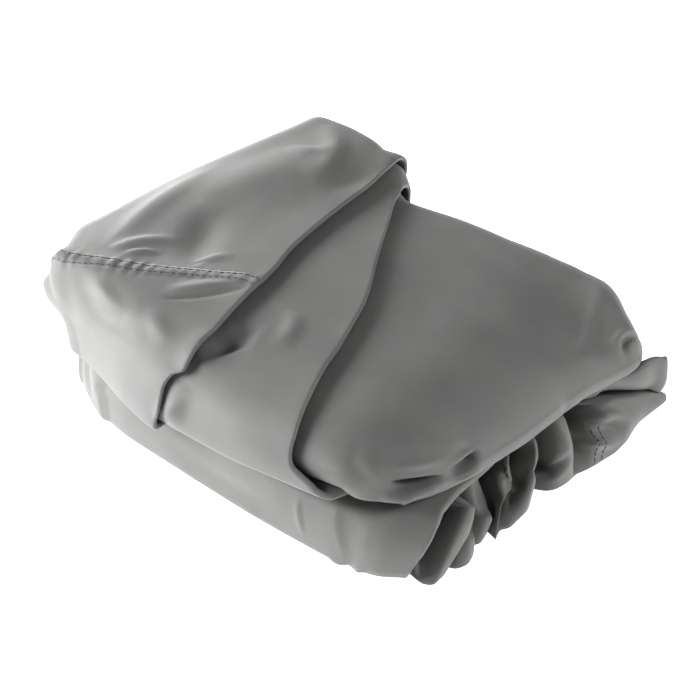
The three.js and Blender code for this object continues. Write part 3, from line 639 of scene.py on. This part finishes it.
skirtCreases = table(
    "x0 y0 z0 x1 y1 z1 x2 y2 z2 width rise lean taper side first last",
    (53, -107, 33, 57, -112, 22, 62, -112, 8, 1.8, 1.3, 0.3, 1, 2, 0, 9),
    (77, -102, 35, 84, -108, 24, 88, -109, 10, 3, 0.8, 0, 1, 2, 0, 9),
    (78, -112, 4, 89, -111, 4, 101, -108, 4, 7, -6, 0, 1, 0, 4, 6),
    (-116, -104, 38, -111, -107, 22, -108, -109, 2, 7, 2.6, 0.85, 0, 2, 0, 9),
    (-138, -100, 34, -131, -106, 22, -121, -106, 6, 5, -2, 0, 1, 2, 0, 9),
    (-60, -113, 20, 0, -114, 16, 40, -113, 22, 7, -1.5, 0, 1, 2, 0, 9),
    # the hem's right side: a ridge along it, a dimple over that and the dimple's rim
    (138, 46, 17, 149, 54, 16, 158, 74, 6, 2.4, 5, 0.3, 1, 7, 3, 3),
    (142, 54, 20, 148, 69, 17, 154, 84, 10, 4.5, -6, 0, 1, 7, 3, 3),
    (138, 52, 22, 145, 70, 25, 153, 88, 15, 2.5, 4, 0, 1, 7, 3, 3),
    (124, 62, 26, 128, 58, 18, 138, 50, 12, 5, -6, 0, 1, 7, 3, 3),
    (130, 12, 26, 138, 14, 14, 141, 32, 20, 2, -7, 0, 1, 7, 3, 3),
    (133, 10, 16, 141, 16, 8, 144, 34, 16, 2.5, 3, 0, 1, 7, 3, 3),
    # slits between the pleats and the lips beside them
    (120, -93, 3, 122, -74, 21, 122, -50, 28, 3.4, -15, 0.4, 1, 4, 3, 3),
    (125, -91, 6, 128, -73, 22, 129, -54, 28, 2.4, 3.5, 0, 1, 4, 3, 3),
    (118, -12, 16, 124, -24, 14, 134, -34, 8, 3.4, -14, 0, 1, 1, 3, 3),
    (130, 1, 31, 130, -12, 24, 134, -28, 13, 3, -13, 0, 1, 1, 3, 3),
    (124, 2, 22, 127, -10, 19, 130, -24, 11, 1.8, 4, 0, 1, 1, 3, 3),
    (134, 3, 24, 137, 19, 10, 142, 33, 21, 2.6, -12, 0, 1, 7, 3, 3),
    (138, 7, 28, 141, 20, 15, 145, 32, 26, 2.2, 4, 0, 1, 7, 3, 3),
    # the upper fold's loose roll at the back right
    (140, 78, 34, 154, 98, 30, 158, 124, 26, 8, 3, 0, 0, 0, 5, 6),
    (140, 78, 34, 154, 98, 30, 158, 124, 26, 8, 10, 0, 0, 0, 5, 5),
    (148, 102, 28, 155, 112, 28, 157, 126, 26, 9, 13, 0, 0, 0, 5, 5),
    (136, 72, 38, 150, 88, 34, 166, 108, 29, 3.4, -11, 0.3, 1, 7, 4, 6),
)
skirtPoints = np.concatenate([innerPoints, hemPoints, outerPoints])
hemLabel = len(skirtInner)
skirtLabels = np.concatenate([innerLabels, np.full(hemRowCount, hemLabel), outerLabels + hemLabel + 1])
skirtPoints = creased(skirtPoints, skirtCreases, skirtLabels)
skirtPoints[..., 2] = np.maximum(skirtPoints[..., 2], cover["floor"])
print("skirt", skirtPoints.shape)

# The hem's casing is closed by two rows of stitches down its right side, at these places along it.
hemSeam = {"places": (0.621, 0.63), "rows": 26}

# The crown's seam: a lapped edge with two rows of stitches.
seam = {
    "rows": 10,            # rows of the left turn below the crown panel
    "edge": 1.2,           # over which the lapped edge rises
    "grooveWidth": 0.8,
    "puckerReach": 6,
    "band": 8.0,           # width of the lapped edge
    "raise": 0.7,
    "stitchRows": (-1.2, -7.0),
    "groove": 0.45,
    "pucker": 0.55,
    "puckerLength": 6.5,
    "stitch": 2.7,         # length of a stitch
    "gap": 1.1,            # and of the gap after it
    "thread": 0.26,        # radius
    "clearance": 0.1,      # of a stitch's middle over the cloth
}
seamColumn = int(np.argmin(np.abs(upperPlaces - zone["top"])))
steps = np.linalg.norm(np.diff(upperPoints, axis=1), axis=-1)
fromSeam = np.concatenate([np.zeros((len(steps), 1)), steps.cumsum(1)], 1)
fromSeam -= fromSeam[:, seamColumn:seamColumn + 1]
firstCrownLabel = seam["rows"] / upperLayers[1]["turnRows"]
crownRows = np.where((upperLabels >= firstCrownLabel) & (upperLabels <= 2))[0]
outerRows = crownRows[upperLabels[crownRows] <= 1.5]


# The height of the lapped edge over the cloth: a raised band, a groove along each stitch row and ripples
# that die away from them.
def seamHeight(away, x):
    start, stop = (away + seam["band"] + 1) / seam["edge"], (away + 0.2) / seam["edge"]
    band = seam["raise"] * (ease(start) - ease(stop))
    groove = sum(np.exp(-((away - place) / seam["grooveWidth"]) ** 2) for place in seam["stitchRows"])
    ripple = np.sin(2 * np.pi * x / seam["puckerLength"] + 2.6 * np.sin(x / 13) + away / 5)
    nearness = np.exp(-((away + seam["band"] / 2) / seam["puckerReach"]) ** 2)
    strength = nearness * (0.3 + 0.7 * ease(0.5 + np.sin(x / 9 + 1.8 * np.sin(x / 23))))
    return band - seam["groove"] * groove + seam["pucker"] * ripple * strength


raised = seamHeight(fromSeam[outerRows], upperPoints[outerRows, :, 0])
upperPoints[outerRows] += raised[..., None] * gridNormals(upperPoints)[outerRows]
upperNormals = gridNormals(upperPoints)


# A path's values where a given length of it has passed.
def atLength(values, passed, where):
    return np.stack([np.interp(where, passed, values[:, c]) for c in range(3)], -1)


# Small capsules laid end to end along paths of points with their normals: each is four rings of six
# corners, whose ends dip into the cloth and are closed by two faces of four corners each.
def stitchMesh(name, paths):
    sides = 6
    turn = np.arange(sides) / sides * 2 * np.pi
    along = np.array([-1, -0.8, 0.8, 1]) * seam["stitch"] / 2
    radius = np.array([0.45, 1, 1, 0.45]) * seam["thread"]
    dip = np.array([-0.35, 0.1, 0.1, -0.35])
    length = np.broadcast_to(along[:, None], (len(along), sides))
    height = radius[:, None] * np.cos(turn) + dip[:, None]
    rings = np.stack([length, height, radius[:, None] * np.sin(turn)], -1).reshape(-1, 3)
    k, following = np.arange(sides), (np.arange(sides) + 1) % sides
    band = np.stack([k, following, following + sides, k + sides], 1)
    bands = [band + sides * ring for ring in range(len(along) - 1)]
    template = np.concatenate([*bands, [[3, 2, 1, 0], [5, 4, 3, 0]], [[18, 19, 20, 21], [18, 21, 22, 23]]])
    corners = []
    for points, normals in paths:
        passed = np.append(0, np.linalg.norm(np.diff(points, axis=0), axis=1).cumsum())
        starts = np.arange(seam["gap"], passed[-1] - seam["stitch"], seam["stitch"] + seam["gap"])
        a, b = atLength(points, passed, starts), atLength(points, passed, starts + seam["stitch"])
        axis = (b - a) / np.linalg.norm(b - a, axis=1, keepdims=True)
        up = atLength(normals, passed, starts + seam["stitch"] / 2)
        side = np.cross(axis, up)
        side /= np.linalg.norm(side, axis=1, keepdims=True)
        frameOf = np.stack([axis, np.cross(side, axis), side], 1)
        centre = (a + b) / 2 + up * (cover["cloth"] / 2 + seam["clearance"])
        corners.append((rings[None] @ frameOf + centre[:, None]).reshape(-1, 3))
    corners = np.concatenate(corners)
    count = len(corners) // len(rings)
    faces = (template[None] + len(rings) * np.arange(count)[:, None, None]).reshape(-1, 4)
    return meshObject(name, corners, faces, np.zeros((len(corners), 2)))


# The path over the grid's rows at a distance from the seam.
def seamPath(rows, away):
    points, normals = [], []
    for i in rows:
        points.append([np.interp(away, fromSeam[i], upperPoints[i, :, c]) for c in range(3)])
        normals.append([np.interp(away, fromSeam[i], upperNormals[i, :, c]) for c in range(3)])
    return np.array(points), np.array(normals)


# The three sheets and the two lots of stitches.
isCrownRow = np.zeros(len(upperPoints) - 1, bool)
isCrownRow[crownRows[0]:crownRows[-1]] = True
isCrownPlace = (upperPlaces[:-1] >= zone["top"] - 1e-6) & (upperPlaces[:-1] < crownEnd - 1e-6)
isCrown = isCrownRow[:, None] & isCrownPlace[None, :]
crownPanel = sheetMesh("crownPanel", upperPoints, isCrown)
sidePanel = sheetMesh("sidePanel", upperPoints, ~isCrown)
skirtPanel = sheetMesh("skirtPanel", skirtPoints)
seamStitches = stitchMesh("seamStitches", [seamPath(outerRows, away) for away in seam["stitchRows"]])
hemRows = np.arange(len(innerPoints) + 1, len(innerPoints) + 1 + hemSeam["rows"])
skirtNormals = -gridNormals(skirtPoints)
hemPaths = [(skirtPoints[hemRows, column], skirtNormals[hemRows, column])
            for column in np.searchsorted(lowerPlaces, hemSeam["places"])]
hemStitches = stitchMesh("hemStitches", hemPaths)
# The number of triangles in each piece.
for piece in (crownPanel, sidePanel, skirtPanel, seamStitches, hemStitches):
    print(piece.name, len(piece.data.polygons) * 2, "triangles")


# A shader value: expressions on it add Math nodes.
class Signal:
    def __init__(self, maker, socket):
        self.maker, self.socket = maker, socket

    def combined(self, operation, first, second):
        return self.maker.node("ShaderNodeMath", {"operation": operation}, {0: first, 1: second})

    def __add__(self, other):
        return self.combined("ADD", self, other)

    def __sub__(self, other):
        return self.combined("SUBTRACT", self, other)

    def __mul__(self, other):
        return self.combined("MULTIPLY", self, other)

    def __rsub__(self, other):
        return self.combined("SUBTRACT", other, self)

    __radd__ = __add__
    __rmul__ = __mul__


# Makes a material's nodes: each call gives one node of a type, with its settings, then its sockets.
class Maker:
    def __init__(self, name):
        self.material = bpy.data.materials.new(name)
        self.material.use_nodes = True
        self.tree = self.material.node_tree
        self.shader = self.tree.nodes["Principled BSDF"]

    def fill(self, node, sockets):
        for key, value in sockets.items():
            if isinstance(value, Signal):
                self.tree.links.new(value.socket, node.inputs[key])
            else:
                node.inputs[key].default_value = value

    def node(self, kind, settings, sockets, output=0):
        made = self.tree.nodes.new(kind)
        stops = settings.pop("stops", None)
        for key, value in settings.items():
            setattr(made, key, value)
        for k, (place, colour) in enumerate(stops or []):
            stop = made.color_ramp.elements[k] if k < 2 else made.color_ramp.elements.new(place)
            stop.position, stop.color = place, colour
        self.fill(made, sockets)
        return Signal(self, made.outputs[output])


fabric = {
    "light": (0.17, 0.169, 0.164, 1),
    "dark": (0.146, 0.146, 0.144, 1),
    "thread": (0.075, 0.075, 0.077, 1),
    "threadSpacing": 0.0005,       # between the weave's threads
    "weaveHeight": 0.00006,
    "crinkleHeight": 0.0005,
    "crinkleScale": 70,
    "mottleScale": 24,
    "bumpStrength": 0.6,
    "roughness": 0.5,
    "roughnessRange": 0.12,
    "sheen": 0.25,
    "sheenRoughness": 0.4,
    "specular": 0.4,
}
sewing = {"twistScale": 900, "twistHeight": 0.0001, "bumpStrength": 0.5, "roughness": 0.6}


# Woven polyester: crossed waves for its threads, two scales of noise for its crinkles and mottling. A wave
# of scale n repeats every 2 pi / (20 n).
def clothMaterial(name):
    maker = Maker(name)
    place = maker.node("ShaderNodeUVMap", {"uv_map": "clothPlace"}, {})
    solid = maker.node("ShaderNodeTexCoord", {}, {}, "Object")
    waves = {"Vector": place, "Scale": 2 * np.pi / (20 * fabric["threadSpacing"])}
    warp, weft = (maker.node("ShaderNodeTexWave", {"bands_direction": way}, waves) for way in "XY")
    weave = warp + weft
    crinkle = maker.node("ShaderNodeTexNoise", {}, {
        "Vector": solid, "Scale": fabric["crinkleScale"], "Detail": 4, "Roughness": 0.55,
    })
    mottle = maker.node("ShaderNodeTexNoise", {}, {
        "Vector": solid, "Scale": fabric["mottleScale"], "Detail": 3,
    })
    height = weave * (fabric["weaveHeight"] / fabric["crinkleHeight"]) + crinkle
    bump = maker.node("ShaderNodeBump", {}, {
        "Strength": fabric["bumpStrength"], "Distance": fabric["crinkleHeight"], "Height": height,
    })
    tones = [(0.35, fabric["dark"]), (0.65, fabric["light"])]
    tone = maker.node("ShaderNodeValToRGB", {"stops": tones}, {"Fac": mottle + weave * 0.02})
    leastRoughness = fabric["roughness"] - fabric["roughnessRange"] / 2
    maker.fill(maker.shader, {
        "Base Color": tone,
        "Normal": bump,
        "Roughness": mottle * fabric["roughnessRange"] + leastRoughness,
        "Sheen Weight": fabric["sheen"],
        "Sheen Roughness": fabric["sheenRoughness"],
        "Specular IOR Level": fabric["specular"],
    })
    return maker.material


# Twisted thread: fine slanted ridges.
def threadMaterial(name):
    maker = Maker(name)
    solid = maker.node("ShaderNodeTexCoord", {}, {}, "Object")
    waves = {"Vector": solid, "Scale": sewing["twistScale"]}
    twist = maker.node("ShaderNodeTexWave", {"bands_direction": "DIAGONAL"}, waves)
    bump = maker.node("ShaderNodeBump", {}, {
        "Strength": sewing["bumpStrength"], "Distance": sewing["twistHeight"], "Height": twist,
    })
    maker.fill(maker.shader, {
        "Base Color": fabric["thread"], "Normal": bump, "Roughness": sewing["roughness"],
    })
    return maker.material


cloth, thread = clothMaterial("wovenCloth"), threadMaterial("sewingThread")
for piece, node, slot in (
    (crownPanel, "crown_panel", "crown_cloth"),
    (sidePanel, "side_panel", "side_cloth"),
    (skirtPanel, "skirt_panel", "skirt_cloth"),
):
    piece.data.materials.append(cloth)
    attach(piece, "root")
    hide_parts(node)
for piece, slot in ((seamStitches, "crown_cloth"), (hemStitches, "skirt_cloth")):
    piece.data.materials.append(thread)
    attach(piece, "root")

# A pale floor, soft light and the camera.
studio = {
    "floor": (0.9, 0.9, 0.9, 1),
    "floorHalf": 6,                    # half the floor's side
    "floorGlow": 0.95,                 # the floor is a lit table
    "sky": 0.14,
    "lightAim": (0, 0, 0.05),
}
view = {
    "azimuth": radians(40),
    "elevation": radians(38),
    "distance": 0.85,
    "lens": 70,
    "sensor": 36,
    "aimHeight": 0.045,
}
# Soft panels: name, place, size and power.
panels = (
    ("key", (-0.56, -0.58, 0.33), 0.5, 10.5),
    ("fill", (0.5, -0.75, 0.4), 0.5, 0.8),
    ("rim", (-0.8, 0.35, 0.35), 0.5, 5),
    ("right", (0.75, 0.35, 0.6), 0.3, 5),
)
floorMesh = bpy.data.meshes.new("floor")
half = studio["floorHalf"]
floorCorners = [(-half, -half, 0), (half, -half, 0), (half, half, 0), (-half, half, 0)]
floorMesh.from_pydata(floorCorners, [], [(0, 1, 2, 3)])
floor = bpy.data.objects.new("floor", floorMesh)
bpy.context.collection.objects.link(floor)
paper = Maker("paleFloor")
paper.fill(paper.shader, {
    "Base Color": studio["floor"],
    "Roughness": 0.9,
    "Emission Color": (1, 1, 1, 1),
    "Emission Strength": studio["floorGlow"],
})
floorMesh.materials.append(paper.material)

world = bpy.data.worlds.new("studio")
bpy.context.scene.world = world
world.use_nodes = True
background = world.node_tree.nodes["Background"]
background.inputs["Color"].default_value = (1, 1, 1, 1)
background.inputs["Strength"].default_value = studio["sky"]


def facing(direction):
    return Vector(direction).to_track_quat("-Z", "Y").to_euler()


for name, place, size, power in panels:
    lightData = bpy.data.lights.new(name, "AREA")
    lightData.shape = "SQUARE"
    lightData.size = size
    lightData.energy = power
    light = bpy.data.objects.new(name, lightData)
    bpy.context.collection.objects.link(light)
    light.location = place
    light.rotation_euler = facing(np.array(studio["lightAim"]) - np.array(place))
    light.visible_camera = False

cameraData = bpy.data.cameras.new("camera")
cameraData.lens = view["lens"]
cameraData.sensor_width = view["sensor"]
camera = bpy.data.objects.new("camera", cameraData)
bpy.context.collection.objects.link(camera)
azimuth, elevation = view["azimuth"], view["elevation"]
target = np.array([0, 0, view["aimHeight"]]) + np.array(cover["tableOrigin"]) * mm
heading = np.array([np.sin(azimuth), -np.cos(azimuth), 0])
back = heading * np.cos(elevation) + np.array([0, 0, np.sin(elevation)])
camera.location = target + back * view["distance"]
camera.rotation_euler = facing(-back)
scene = bpy.context.scene
scene.camera = camera
scene.view_settings.view_transform = "Standard"
scene.view_settings.look = "Medium High Contrast"
